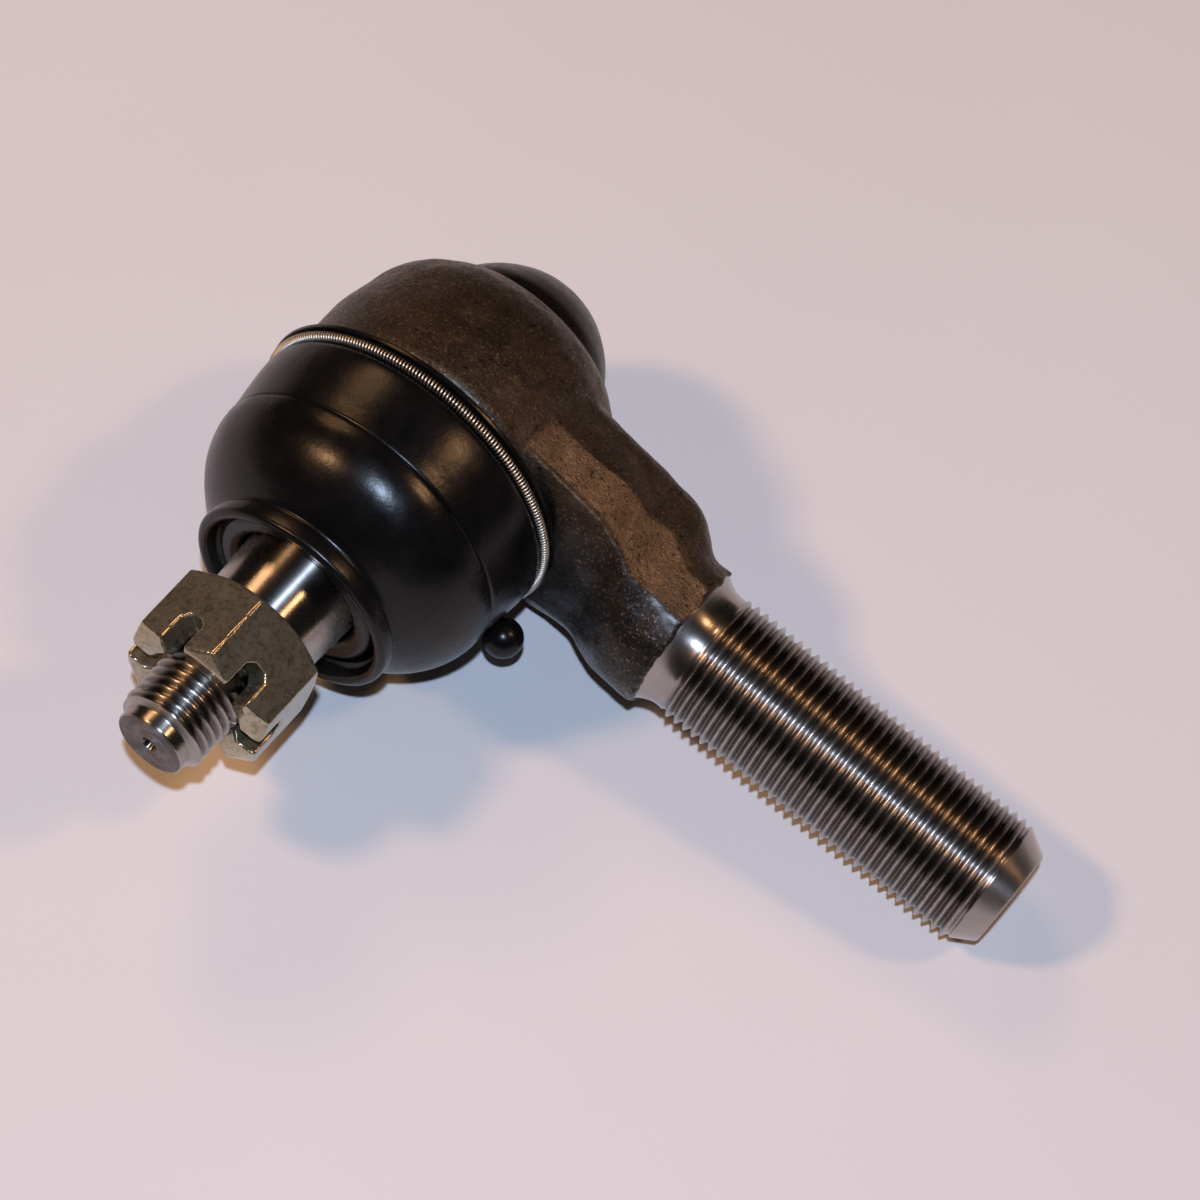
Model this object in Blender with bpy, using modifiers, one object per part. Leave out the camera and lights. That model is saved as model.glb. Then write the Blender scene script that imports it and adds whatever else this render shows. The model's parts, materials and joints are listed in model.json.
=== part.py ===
"""Tie rod end: a forged housing with a threaded shank, and a spring-loaded ball joint in its eye.

Every piece is modelled about the ball centre. In the assembly frame +X runs out along the shank,
+Y runs along the stud's axis from the ball towards the domed cap, and the stud's tip is at -Y.
The assembly empty then lays the joint on its side, as it rests on a bench: on the boot's edge,
the eye and the far end of the shank.
"""

import math

import bmesh
import bpy
from mathutils import Matrix, Vector

MM = 0.001
GAP = 0.3  # running and seating clearance between neighbouring solids, in mm

# How the joint lies on the bench
BALL_CENTRE = (-38.369, 16.762, 24.489)
SHANK_PITCH_DEG = 8.6
STUD_ROLL_DEG = -2.9

# Ball joint
BALL_RADIUS = 14.0
BORE_RADIUS = 16.5
BORE_FLOOR = -7.0
SEAT_RADIUS = BALL_RADIUS + GAP
RACE_OUTER_RADIUS = BORE_RADIUS - GAP

# Housing: eye about the stud axis, neck, and shank along +X
EYE_RADIUS = 22.7
EYE_FRONT = -10.0
BOOT_SEAT_RADIUS = 20.5
MOUTH_RADIUS = 13.2
MOUTH_FLARE_RADIUS = 16.4
RIM_RADIUS = 14.5
RIM_FACE = 18.9
RIM_INNER_FACE = 17.7
NECK_END = 43.0
NECK_END_RADIUS = 11.1
SHANK_RADIUS = 9.95
SHANK_RELIEF_RADIUS = 9.2
SHANK_THREAD_START = 47.4
SHANK_THREAD_END = 97.2
SHANK_END = 101.6
SHANK_TIP_RADIUS = 7.2

# Ball stud, measured back from the ball centre
STUD_NECK_RADIUS = 7.0
CONE_LARGE_RADIUS = 9.75
CONE_START = -20.0
CONE_END = -40.1
CONE_SMALL_RADIUS = 8.75
STUD_THREAD_RADIUS = 6.5
STUD_TIP = -62.6
STUD_TIP_RADIUS = 5.25
STUD_LEAD = 3.0
CENTRE_DRILL_RADIUS = 1.45
PIN_HOLE_RADIUS = 1.6

# Castle nut
NUT_ACROSS_FLATS = 22.0
NUT_TURN_DEG = 0.0
NUT_REAR = -40.45
NUT_FRONT = -53.4
NUT_BORE_RADIUS = STUD_THREAD_RADIUS + GAP + 0.05
NUT_SLOT_WIDTH = 3.8
NUT_SLOT_DEPTH = 5.4
PIN_HOLE_PLACE = NUT_FRONT + 3.0

# End cap, pressed from sheet
CAP_DOME_RADIUS = 16.0
CAP_DOME_CENTRE = 13.3
CAP_WALL = 1.5
CAP_NECK_RADIUS = 14.1
CAP_FLANGE_RADIUS = BORE_RADIUS - GAP
CAP_FLANGE_FRONT = 15.8

# Boot and its fastenings
BOOT_EDGE = -4.7
BOOT_CLAMP_RADIUS = BOOT_SEAT_RADIUS + 0.4
GARTER_PLACE = -6.5
GARTER_RING_RADIUS = 24.05
GARTER_COIL_RADIUS = 0.8
BOOT_MOUTH = -33.1
BOOT_LIP_RADIUS = 16.4
COLLAR_OUTER_RADIUS = 13.0
COLLAR_INNER_RADIUS = 9.75
VENT_ANGLE_DEG = -20.0
VENT_PLACE = -12.3
VENT_BALL_RADIUS = 2.7
VENT_BALL_DISTANCE = 25.5

FINE_STEPS = 48
STEPS = 32


def clear_scene():
    for item in list(bpy.data.objects):
        bpy.data.objects.remove(item, do_unlink=True)


def new_collection(name):
    found = bpy.data.collections.new(name)
    bpy.context.scene.collection.children.link(found)
    return found


def new_material(name, colour, metallic, roughness):
    made = bpy.data.materials.new(name)
    made.use_nodes = True
    shader = made.node_tree.nodes["Principled BSDF"]
    shader.inputs["Base Color"].default_value = (*colour, 1.0)
    shader.inputs["Metallic"].default_value = metallic
    shader.inputs["Roughness"].default_value = roughness
    return made


def empty(name, location, rotation, parent=None):
    found = bpy.data.objects.new(name, None)
    found.empty_display_size = 10 * MM
    found.location = [value * MM for value in location]
    found.rotation_euler = rotation
    found.parent = parent
    PARTS.objects.link(found)
    return found


def add_object(name, mesh, collection, parent, material=None):
    found = bpy.data.objects.new(name, mesh)
    found.parent = parent
    collection.objects.link(found)
    if material:
        mesh.materials.append(material)
    if collection is CUTTERS:
        found.hide_render = True
        found.display_type = "WIRE"
    return found


def turned(name, profile, parent, material=None, steps=STEPS, collection=None, closed=True):
    """A profile of (height, radius) in mm, outer side from top to bottom, turned about local Z."""
    mesh = bpy.data.meshes.new(name)
    points = [(radius * MM, 0.0, height * MM) for height, radius in profile]
    edges = [(i, i + 1) for i in range(len(points) - 1)]
    if closed:
        edges.append((len(points) - 1, 0))
    mesh.from_pydata(points, edges, [])
    found = add_object(name, mesh, collection or PARTS, parent, material)
    screw = found.modifiers.new("turn", "SCREW")
    screw.axis = "Z"
    screw.steps = steps
    screw.render_steps = steps
    screw.use_merge_vertices = True
    screw.merge_threshold = 0.00001
    screw.use_smooth_shade = True
    return found


def combine(target, tool, operation):
    boolean = target.modifiers.new(tool.name, "BOOLEAN")
    boolean.operation = operation
    boolean.object = tool
    boolean.solver = "EXACT"


def arc(centre_height, centre_radius, size, start_deg, end_deg, count):
    """Points (height, radius) on an arc; 0 degrees points away from the axis, 90 degrees up it."""
    angles = [start_deg + (end_deg - start_deg) * i / (count - 1) for i in range(count)]
    return [
        (
            centre_height + size * math.sin(math.radians(angle)),
            centre_radius + size * math.cos(math.radians(angle)),
        )
        for angle in angles
    ]


def cylinder_between(name, start, end, radius, parent, steps=24):
    """A hidden cutter with its axis from start to end, in mm."""
    first = Vector(start) * MM
    along = Vector(end) * MM - first
    mesh = bpy.data.meshes.new(name)
    shape = bmesh.new()
    bmesh.ops.create_cone(
        shape,
        cap_ends=True,
        segments=steps,
        radius1=radius * MM,
        radius2=radius * MM,
        depth=along.length,
    )
    shape.to_mesh(mesh)
    shape.free()
    found = add_object(name, mesh, CUTTERS, parent)
    found.rotation_euler = along.to_track_quat("Z", "Y").to_euler()
    found.location = first + along / 2
    return found


def neck_sections():
    """(x, low y, high y, half height, squareness) of the forged neck, from the eye to the shank."""
    return (
        (4.0, -4.2, 15.2, 21.6, 2.8),
        (12.0, -4.2, 15.0, 19.4, 2.8),
        (18.0, -4.3, 14.8, 18.4, 2.7),
        (23.0, -4.4, 14.6, 17.5, 2.7),
        (27.0, -6.0, 14.4, 16.3, 2.6),
        (30.5, -7.0, 14.3, 14.5, 2.5),
        (33.5, -8.2, 14.1, 12.7, 2.3),
        (36.5, -10.3, 13.4, 12.0, 2.1),
        (39.5, -11.4, 12.2, 11.6, 2.0),
        (NECK_END, -NECK_END_RADIUS, NECK_END_RADIUS, NECK_END_RADIUS, 2.0),
    )


def neck_loft(parent):
    """The neck as a loft of rounded sections, closed by a flat face at each end."""
    around = 32
    mesh = bpy.data.meshes.new("neck")
    shape = bmesh.new()
    rings = []
    for x, low, high, half, power in neck_sections():
        ring = []
        for i in range(around):
            angle = math.tau * i / around
            across = math.copysign(abs(math.cos(angle)) ** (2 / power), math.cos(angle))
            up = math.copysign(abs(math.sin(angle)) ** (2 / power), math.sin(angle))
            y = (low + high) / 2 + across * (high - low) / 2
            ring.append(shape.verts.new((x * MM, y * MM, up * half * MM)))
        rings.append(ring)
    for first, second in zip(rings, rings[1:]):
        for i in range(around):
            j = (i + 1) % around
            shape.faces.new((first[i], first[j], second[j], second[i]))
    shape.faces.new(rings[0])
    shape.faces.new(rings[-1])
    bmesh.ops.recalc_face_normals(shape, faces=shape.faces)
    shape.to_mesh(mesh)
    shape.free()
    return add_object("neck", mesh, CUTTERS, parent)


def make_housing():
    """Forged eye, neck and threaded shank, bored through for the ball joint."""
    eye = [
        (RIM_FACE, 0.0),
        (RIM_FACE, RIM_RADIUS + 0.5),
        (RIM_FACE - 0.5, RIM_RADIUS + 1.3),
        (16.2, 18.2),
        (14.3, 20.3),
        (12.4, 21.3),
        (8.0, 21.9),
        (2.9, EYE_RADIUS - 0.2),
        (2.4, EYE_RADIUS),
        (-2.9, EYE_RADIUS),
        (-3.6, EYE_RADIUS - 0.6),
        (BOOT_EDGE + 0.4, EYE_RADIUS - 1.2),
        (BOOT_EDGE + 0.4, BOOT_SEAT_RADIUS),
        (EYE_FRONT + 0.6, BOOT_SEAT_RADIUS),
        (EYE_FRONT, BOOT_SEAT_RADIUS - 0.6),
        (EYE_FRONT, 0.0),
    ]
    housing = turned("housing", eye, STUD_AXIS, FORGED, FINE_STEPS, closed=False)
    shank = [
        (SHANK_END, 0.0),
        (SHANK_END, SHANK_TIP_RADIUS),
        (SHANK_THREAD_END, SHANK_RADIUS),
        (SHANK_THREAD_START, SHANK_RADIUS),
        (SHANK_THREAD_START - 0.6, SHANK_RELIEF_RADIUS + 0.1),
        (NECK_END + 2.6, SHANK_RELIEF_RADIUS + 0.25),
        (NECK_END + 1.4, SHANK_RELIEF_RADIUS + 0.9),
        (NECK_END + 0.5, NECK_END_RADIUS - 0.2),
        (NECK_END - 4.0, NECK_END_RADIUS - 0.2),
        (NECK_END - 4.0, 0.0),
    ]
    bore = [
        (RIM_FACE + 1.0, 0.0),
        (RIM_FACE + 1.0, RIM_RADIUS),
        (RIM_INNER_FACE, RIM_RADIUS),
        (RIM_INNER_FACE, BORE_RADIUS),
        (BORE_FLOOR, BORE_RADIUS),
        (BORE_FLOOR, MOUTH_RADIUS),
        (EYE_FRONT, MOUTH_FLARE_RADIUS),
        (EYE_FRONT - 1.0, MOUTH_FLARE_RADIUS),
        (EYE_FRONT - 1.0, 0.0),
    ]
    combine(housing, neck_loft(ASSEMBLY), "UNION")
    shank_tool = turned("shank", shank, SHANK_AXIS, steps=48, collection=CUTTERS, closed=False)
    combine(housing, shank_tool, "UNION")
    bore_tool = turned("bore", bore, STUD_AXIS, steps=FINE_STEPS, collection=CUTTERS, closed=False)
    combine(housing, bore_tool, "DIFFERENCE")


def make_ball_stud():
    """Ball, neck, tapered seat and threaded end with its split-pin hole and centre drilling."""
    neck_angle = math.degrees(math.asin(-math.sqrt(BALL_RADIUS**2 - STUD_NECK_RADIUS**2) / BALL_RADIUS))
    flat_angle = 72.0
    ball = arc(0.0, 0.0, BALL_RADIUS, flat_angle, neck_angle, 14)
    profile = [
        (ball[0][0], 0.0),
        *ball,
        (-16.5, STUD_NECK_RADIUS),
        (CONE_START + 0.6, CONE_LARGE_RADIUS),
        (CONE_START, CONE_LARGE_RADIUS),
        (CONE_END, CONE_SMALL_RADIUS),
        (CONE_END, STUD_THREAD_RADIUS - 0.5),
        (CONE_END - 0.9, STUD_THREAD_RADIUS - 0.5),
        (CONE_END - 1.3, STUD_THREAD_RADIUS),
        (STUD_TIP + STUD_LEAD, STUD_THREAD_RADIUS),
        (STUD_TIP + 0.3, STUD_TIP_RADIUS + 0.1),
        (STUD_TIP, STUD_TIP_RADIUS),
        (STUD_TIP, CENTRE_DRILL_RADIUS),
        (STUD_TIP + 1.6, 0.0),
    ]
    stud = turned("ball_stud", profile, STUD_AXIS, POLISHED, STEPS, closed=False)
    angle = math.radians(NUT_TURN_DEG + 60)
    across = Vector((math.cos(angle), math.sin(angle), 0)) * (STUD_THREAD_RADIUS + 2)
    middle = Vector((0, 0, PIN_HOLE_PLACE))
    hole = cylinder_between("pin_hole", middle - across, middle + across, PIN_HOLE_RADIUS, STUD_AXIS, 12)
    combine(stud, hole, "DIFFERENCE")


def make_bearing_ring():
    """Bearing ring that the stud side of the ball turns against."""
    low = BORE_FLOOR + GAP
    start = math.degrees(math.asin(low / SEAT_RADIUS))
    inner = arc(0.0, 0.0, SEAT_RADIUS, start, 0.0, 5)
    profile = [(0.0, RACE_OUTER_RADIUS), (low, RACE_OUTER_RADIUS), *inner]
    turned("bearing_ring", profile, STUD_AXIS, BEARING)


def make_pressure_seat():
    """Cup behind the ball, pushed against it by the spring."""
    back = 14.8
    hole = 3.5
    end = math.degrees(math.acos(hole / SEAT_RADIUS))
    inner = arc(0.0, 0.0, SEAT_RADIUS, 1.2, end, 8)
    profile = [
        (back, RACE_OUTER_RADIUS - 0.6),
        (back - 0.6, RACE_OUTER_RADIUS),
        (GAP, RACE_OUTER_RADIUS),
        *inner,
        (back, hole),
    ]
    turned("pressure_seat", profile, STUD_AXIS, BEARING)


def make_seat_spring():
    """Coil spring between the pressure seat and the inside of the domed cap."""
    wire = 1.1
    radius = 7.2
    low, high = 14.8 + GAP + wire, 23.6
    turns, per_turn = 3, 12
    count = turns * per_turn + 1
    curve = bpy.data.curves.new("seat_spring", "CURVE")
    curve.dimensions = "3D"
    curve.bevel_depth = wire * MM
    curve.bevel_resolution = 2
    curve.use_fill_caps = True
    line = curve.splines.new("POLY")
    line.points.add(count - 1)
    for i, point in enumerate(line.points):
        share = i / (count - 1)
        angle = math.tau * turns * share
        height = low + (high - low) * share
        place = Vector((radius * math.cos(angle), radius * math.sin(angle), height)) * MM
        point.co = (*place, 1.0)
    found = bpy.data.objects.new("seat_spring", curve)
    found.parent = STUD_AXIS
    curve.materials.append(SPRING_STEEL)
    PARTS.objects.link(found)


def make_end_cap():
    """Domed sheet cap, held by its flange under the housing's rolled rim."""
    base_deg = math.degrees(math.acos(CAP_NECK_RADIUS / CAP_DOME_RADIUS))
    inner_size = CAP_DOME_RADIUS - CAP_WALL
    inner_neck = CAP_NECK_RADIUS - CAP_WALL
    inner_deg = math.degrees(math.acos(inner_neck / inner_size))
    outer = arc(CAP_DOME_CENTRE, 0.0, CAP_DOME_RADIUS, 90, base_deg, 9)
    inner = arc(CAP_DOME_CENTRE, 0.0, inner_size, inner_deg, 90, 8)
    outer[0] = (outer[0][0], 0.0)
    inner[-1] = (inner[-1][0], 0.0)
    flange_back = CAP_FLANGE_FRONT + CAP_WALL
    profile = [
        *outer,
        (flange_back, CAP_NECK_RADIUS),
        (flange_back, CAP_FLANGE_RADIUS),
        (CAP_FLANGE_FRONT, CAP_FLANGE_RADIUS),
        (CAP_FLANGE_FRONT, inner_neck),
        *inner,
    ]
    turned("end_cap", profile, STUD_AXIS, CAP_STEEL, closed=False)


def make_dust_boot():
    """Rubber boot: clamped edge, nearly cylindrical band, mould seam, domed front and lip."""
    groove = arc(GARTER_PLACE, GARTER_RING_RADIUS, GARTER_COIL_RADIUS + GAP, 105, 255, 6)
    profile = [
        (BOOT_EDGE, 23.1),
        (BOOT_EDGE - 0.35, 23.6),
        *groove,
        (-8.3, 23.75),
        (-12.0, 23.6),
        (-15.5, 23.15),
        (-17.5, 23.2),
        (-18.3, 22.9),
        (-21.0, 22.2),
        (-24.0, 20.7),
        (-26.6, 18.7),
        (-28.6, 17.0),
        (-30.1, 15.7),
        (-31.0, BOOT_LIP_RADIUS),
        (-32.5, BOOT_LIP_RADIUS),
        (BOOT_MOUTH, BOOT_LIP_RADIUS - 0.8),
        (BOOT_MOUTH, COLLAR_OUTER_RADIUS + GAP + 0.6),
        (BOOT_MOUTH + 0.6, COLLAR_OUTER_RADIUS + GAP),
        (-27.0, COLLAR_OUTER_RADIUS + GAP),
        (-24.6, 17.4),
        (-22.4, 19.4),
        (-18.0, 20.8),
        (-12.0, 21.6),
        (-9.3, 21.5),
        (-8.7, BOOT_CLAMP_RADIUS),
        (BOOT_EDGE, BOOT_CLAMP_RADIUS),
    ]
    boot = turned("dust_boot", profile, STUD_AXIS, RUBBER, FINE_STEPS)
    direction = vent_direction()
    along = Vector((0, VENT_PLACE, 0))
    hole = cylinder_between(
        "vent_hole", along + direction * 18, along + direction * 27, 1.2 + GAP, ASSEMBLY, 12
    )
    combine(boot, hole, "DIFFERENCE")


def vent_direction():
    angle = math.radians(VENT_ANGLE_DEG)
    return Vector((math.cos(angle), 0, math.sin(angle)))


def make_vent_plug():
    """Ball-headed plug through the boot's wall, with a retaining head inside."""
    base = 24.0
    low = -math.degrees(math.asin((VENT_BALL_DISTANCE - base) / VENT_BALL_RADIUS))
    ball = arc(VENT_BALL_DISTANCE, 0.0, VENT_BALL_RADIUS, 90, low, 8)
    ball[0] = (ball[0][0], 0.0)
    profile = [*ball, (base, 1.2), (21.2, 1.2), (21.2, 1.9), (20.2, 1.9), (20.2, 0.0)]
    turn = vent_direction().to_track_quat("Z", "Y").to_euler()
    axis = empty("vent_axis", (0, VENT_PLACE, 0), turn, ASSEMBLY)
    turned("vent_plug", profile, axis, RUBBER, 16, closed=False)


def make_garter_spring():
    """Garter spring that clamps the boot's edge, as a ring of the coil's outer size."""
    ring = arc(GARTER_PLACE, GARTER_RING_RADIUS, GARTER_COIL_RADIUS, 45, -270, 8)
    turned("garter_spring", ring, STUD_AXIS, SPRING_STEEL, FINE_STEPS)


def make_boot_collar():
    """Stiff ring inside the boot's mouth, which seals on the stud's cone."""
    profile = [
        (-27.4, COLLAR_OUTER_RADIUS),
        (-31.4, COLLAR_OUTER_RADIUS),
        (-31.4, COLLAR_INNER_RADIUS + 0.5),
        (-30.9, COLLAR_INNER_RADIUS),
        (-27.4, COLLAR_INNER_RADIUS),
    ]
    turned("boot_collar", profile, STUD_AXIS, RUBBER)


def make_castle_nut():
    """Hexagon nut, chamfered at both ends, with three slots milled right across its front."""
    corner = NUT_ACROSS_FLATS / 2 / math.cos(math.pi / 6)
    height = NUT_REAR - NUT_FRONT
    mesh = bpy.data.meshes.new("castle_nut")
    shape = bmesh.new()
    bmesh.ops.create_cone(
        shape,
        cap_ends=True,
        segments=6,
        radius1=corner * MM,
        radius2=corner * MM,
        depth=height * MM,
    )
    bmesh.ops.translate(shape, verts=shape.verts, vec=(0, 0, (NUT_FRONT + height / 2) * MM))
    bmesh.ops.rotate(
        shape,
        verts=shape.verts,
        cent=(0, 0, 0),
        matrix=Matrix.Rotation(math.radians(NUT_TURN_DEG), 3, "Z"),
    )
    shape.to_mesh(mesh)
    shape.free()
    nut = add_object("castle_nut", mesh, PARTS, STUD_AXIS, ZINC)
    flat = NUT_ACROSS_FLATS / 2
    chamfer = [
        (NUT_REAR + 1.0, 0.0),
        (NUT_REAR + 1.0, flat - 0.4 - 1.0 / 0.577),
        (NUT_REAR - 1.2, flat - 0.4 + 1.2 / 0.577),
        (NUT_FRONT + 1.2, flat - 0.4 + 1.2 / 0.577),
        (NUT_FRONT - 1.0, flat - 0.4 - 1.0 / 0.577),
        (NUT_FRONT - 1.0, 0.0),
    ]
    chamfer_tool = turned("nut_chamfer", chamfer, STUD_AXIS, steps=36, collection=CUTTERS, closed=False)
    combine(nut, chamfer_tool, "INTERSECT")
    bore = [
        (NUT_REAR + 1.0, 0.0),
        (NUT_REAR + 1.0, NUT_BORE_RADIUS),
        (NUT_FRONT + 1.1, NUT_BORE_RADIUS),
        (NUT_FRONT - 0.5, NUT_BORE_RADIUS + 1.6),
        (NUT_FRONT - 0.5, 0.0),
    ]
    bore_tool = turned("nut_bore", bore, STUD_AXIS, steps=36, collection=CUTTERS, closed=False)
    combine(nut, bore_tool, "DIFFERENCE")
    for i in range(3):
        combine(nut, slot_cutter(i), "DIFFERENCE")


def slot_cutter(index):
    """A bar across the nut's front, from flat to flat, with its lower edges bevelled."""
    mesh = bpy.data.meshes.new(f"slot_{index}")
    shape = bmesh.new()
    bmesh.ops.create_cube(shape, size=1.0)
    depth = NUT_SLOT_DEPTH + 1.0
    size = (NUT_ACROSS_FLATS + 4.0, NUT_SLOT_WIDTH, depth)
    for vert in shape.verts:
        vert.co = [side * share * MM for side, share in zip(size, vert.co)]
    long_edges = [
        edge
        for edge in shape.edges
        if all(vert.co.z > 0 for vert in edge.verts) and abs(edge.verts[0].co.x - edge.verts[1].co.x) > MM
    ]
    bmesh.ops.bevel(shape, geom=long_edges, offset=1.0 * MM, segments=1, affect="EDGES")
    shape.to_mesh(mesh)
    shape.free()
    found = add_object(f"slot_{index}", mesh, CUTTERS, STUD_AXIS)
    found.location = (0, 0, (NUT_FRONT - 1.0 + depth / 2) * MM)
    found.rotation_euler = (0, 0, math.tau * index / 6 + math.radians(NUT_TURN_DEG))
    return found


clear_scene()
PARTS = new_collection("tie_rod_end")
CUTTERS = new_collection("cutters")
FORGED = new_material("forged_steel", (0.030, 0.024, 0.019), 0.6, 0.45)
POLISHED = new_material("polished_steel", (0.55, 0.54, 0.52), 1.0, 0.14)
BEARING = new_material("bearing_polymer", (0.62, 0.60, 0.52), 0.0, 0.4)
SPRING_STEEL = new_material("spring_steel", (0.50, 0.47, 0.42), 1.0, 0.25)
CAP_STEEL = new_material("cap_steel", (0.055, 0.045, 0.038), 0.7, 0.35)
RUBBER = new_material("rubber", (0.012, 0.012, 0.013), 0.0, 0.42)
ZINC = new_material("zinc_plate", (0.30, 0.26, 0.17), 1.0, 0.32)
ASSEMBLY = empty(
    "assembly",
    BALL_CENTRE,
    (math.radians(STUD_ROLL_DEG), math.radians(SHANK_PITCH_DEG), 0),
)
STUD_AXIS = empty("stud_axis", (0, 0, 0), (-math.pi / 2, 0, 0), ASSEMBLY)
SHANK_AXIS = empty("shank_axis", (0, 0, 0), (0, math.pi / 2, 0), ASSEMBLY)

make_housing()
make_ball_stud()
make_bearing_ring()
make_pressure_seat()
make_seat_spring()
make_end_cap()
make_dust_boot()
make_vent_plug()
make_garter_spring()
make_boot_collar()
make_castle_nut()
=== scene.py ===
"""Tie rod end: the looks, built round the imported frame.

Pieces are drawn in millimetres about the ball centre (+X along the shank, +Y from the ball to the
domed cap, stud tip at -Y) and then put in the row's frame, which comes from the record's joints.
"""

import json
import math

import bmesh
import bpy
import numpy as np
from mathutils import Matrix, Vector, noise

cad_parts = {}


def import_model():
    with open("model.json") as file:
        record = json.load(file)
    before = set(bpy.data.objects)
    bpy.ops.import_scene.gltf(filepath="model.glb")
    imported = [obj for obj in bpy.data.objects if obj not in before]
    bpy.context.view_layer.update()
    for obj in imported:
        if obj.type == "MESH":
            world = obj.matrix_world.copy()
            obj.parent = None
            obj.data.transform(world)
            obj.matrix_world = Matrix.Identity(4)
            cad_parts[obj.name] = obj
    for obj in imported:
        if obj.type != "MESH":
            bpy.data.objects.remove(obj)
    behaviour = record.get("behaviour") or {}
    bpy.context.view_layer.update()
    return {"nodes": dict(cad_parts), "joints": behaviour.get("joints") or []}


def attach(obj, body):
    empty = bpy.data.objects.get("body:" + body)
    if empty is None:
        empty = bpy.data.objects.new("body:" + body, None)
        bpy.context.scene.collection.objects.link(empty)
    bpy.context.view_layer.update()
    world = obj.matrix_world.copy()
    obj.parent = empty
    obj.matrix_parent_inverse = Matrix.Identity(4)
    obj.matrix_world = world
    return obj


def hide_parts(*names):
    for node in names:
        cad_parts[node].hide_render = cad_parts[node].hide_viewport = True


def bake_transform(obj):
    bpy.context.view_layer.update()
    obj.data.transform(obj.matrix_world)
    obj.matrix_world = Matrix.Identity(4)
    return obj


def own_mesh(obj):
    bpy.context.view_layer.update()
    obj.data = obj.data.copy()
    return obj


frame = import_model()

JOINTS = {joint["name"]: joint for joint in frame["joints"]}
BALL = np.array(JOINTS["stud_tilt"]["pos_m"])
Y_AXIS = np.array(JOINTS["boot_swivel"]["axis"])
Z_AXIS = np.array(JOINTS["stud_tilt"]["axis"])
Y_AXIS = Y_AXIS / np.linalg.norm(Y_AXIS)
X_AXIS = np.cross(Y_AXIS, Z_AXIS)
X_AXIS = X_AXIS / np.linalg.norm(X_AXIS)
Z_AXIS = np.cross(X_AXIS, Y_AXIS)
BASIS = np.stack([X_AXIS, Y_AXIS, Z_AXIS])
# A profile that starts or ends on its axis gets this small radius in mm there.
POLE_RADIUS = 0.004


def world(points):
    """Millimetres about the ball to metres in the row frame."""
    return BALL + np.asarray(points, float) * 0.001 @ BASIS


# ---------------------------------------------------------------- mesh helpers


def make_object(name, verts, faces, smooth=True, sharp=35):
    mesh = bpy.data.meshes.new(name)
    mesh.from_pydata([tuple(v) for v in np.asarray(verts)], [], faces)
    mesh.update()
    found = bpy.data.objects.new(name, mesh)
    bpy.context.scene.collection.objects.link(found)
    finish_mesh(mesh, smooth, sharp)
    return found


def finish_mesh(mesh, smooth=True, sharp=35):
    shape = bmesh.new()
    shape.from_mesh(mesh)
    bmesh.ops.recalc_face_normals(shape, faces=shape.faces)
    shape.to_mesh(mesh)
    shape.free()
    if smooth:
        mesh.shade_smooth()
        mesh.set_sharp_from_angle(angle=math.radians(sharp))


def grid_faces(rows, columns, close_rows=False):
    faces = []
    last = rows if close_rows else rows - 1
    for i in range(last):
        a = i * columns
        b = ((i + 1) % rows) * columns
        for j in range(columns):
            k = (j + 1) % columns
            faces.append((a + j, a + k, b + k, b + j))
    return faces


def capped_faces(rows, columns):
    """The faces of a tube of rings, with a flat face over each end."""
    faces = grid_faces(rows, columns)
    faces.append(tuple(range(columns)))
    faces.append(tuple(range((rows - 1) * columns, rows * columns)))
    return faces


def skin(name, grid, sharp=35):
    """A closed piece from rings of points in mm, given as an array of rows, columns and x, y, z."""
    faces = capped_faces(grid.shape[0], grid.shape[1])
    return make_object(name, world(grid.reshape(-1, 3)), faces, sharp=sharp)


def rounded(profile, size=0.3, steps=4, closed=False):
    """The profile with each corner replaced by an arc-like curve; a point may carry its own size."""
    points = []
    count = len(profile)
    for i, point in enumerate(profile):
        here = np.array(point[:2], float)
        own = point[2] if len(point) > 2 else size
        if (not closed and i in (0, count - 1)) or own <= 0:
            points.append(tuple(here))
            continue
        before = np.array(profile[i - 1][:2], float) - here
        after = np.array(profile[(i + 1) % count][:2], float) - here
        reach_before = min(own, np.linalg.norm(before) * 0.45)
        reach_after = min(own, np.linalg.norm(after) * 0.45)
        start = here + before / np.linalg.norm(before) * reach_before
        end = here + after / np.linalg.norm(after) * reach_after
        for k in range(steps + 1):
            t = k / steps
            points.append(tuple((1 - t) ** 2 * start + 2 * t * (1 - t) * here + t * t * end))
    return points


def curve_through(points, per, closed=False):
    """Catmull-Rom through the points, with this many steps from each to the next."""
    points = [np.array(p, float) for p in points]
    count = len(points)
    found = []
    spans = count if closed else count - 1
    for i in range(spans):
        p1 = points[i]
        p2 = points[(i + 1) % count]
        p0 = points[i - 1] if (i > 0 or closed) else p1 * 2 - p2
        p3 = points[(i + 2) % count] if (i + 2 < count or closed) else p2 * 2 - p1
        for k in range(per):
            t = k / per
            found.append(
                0.5 * (2 * p1 + (p2 - p0) * t + (2 * p0 - 5 * p1 + 4 * p2 - p3) * t**2
                       + (3 * p1 - p0 - 3 * p2 + p3) * t**3)
            )
    if not closed:
        found.append(points[-1])
    return [tuple(p) for p in found]


def ring_points(profile, steps, axis):
    """A ring of points for each (along, radius), round the stud's axis (Y) or the shank's (X)."""
    angles = np.arange(steps) * math.tau / steps
    rows = []
    for along, radius in profile:
        level = np.full(steps, along)
        first = max(radius, POLE_RADIUS) * np.cos(angles)
        second = max(radius, POLE_RADIUS) * np.sin(angles)
        rows.append(np.stack([first, level, second] if axis == "Y" else [level, first, second], 1))
    return np.array(rows)


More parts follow.
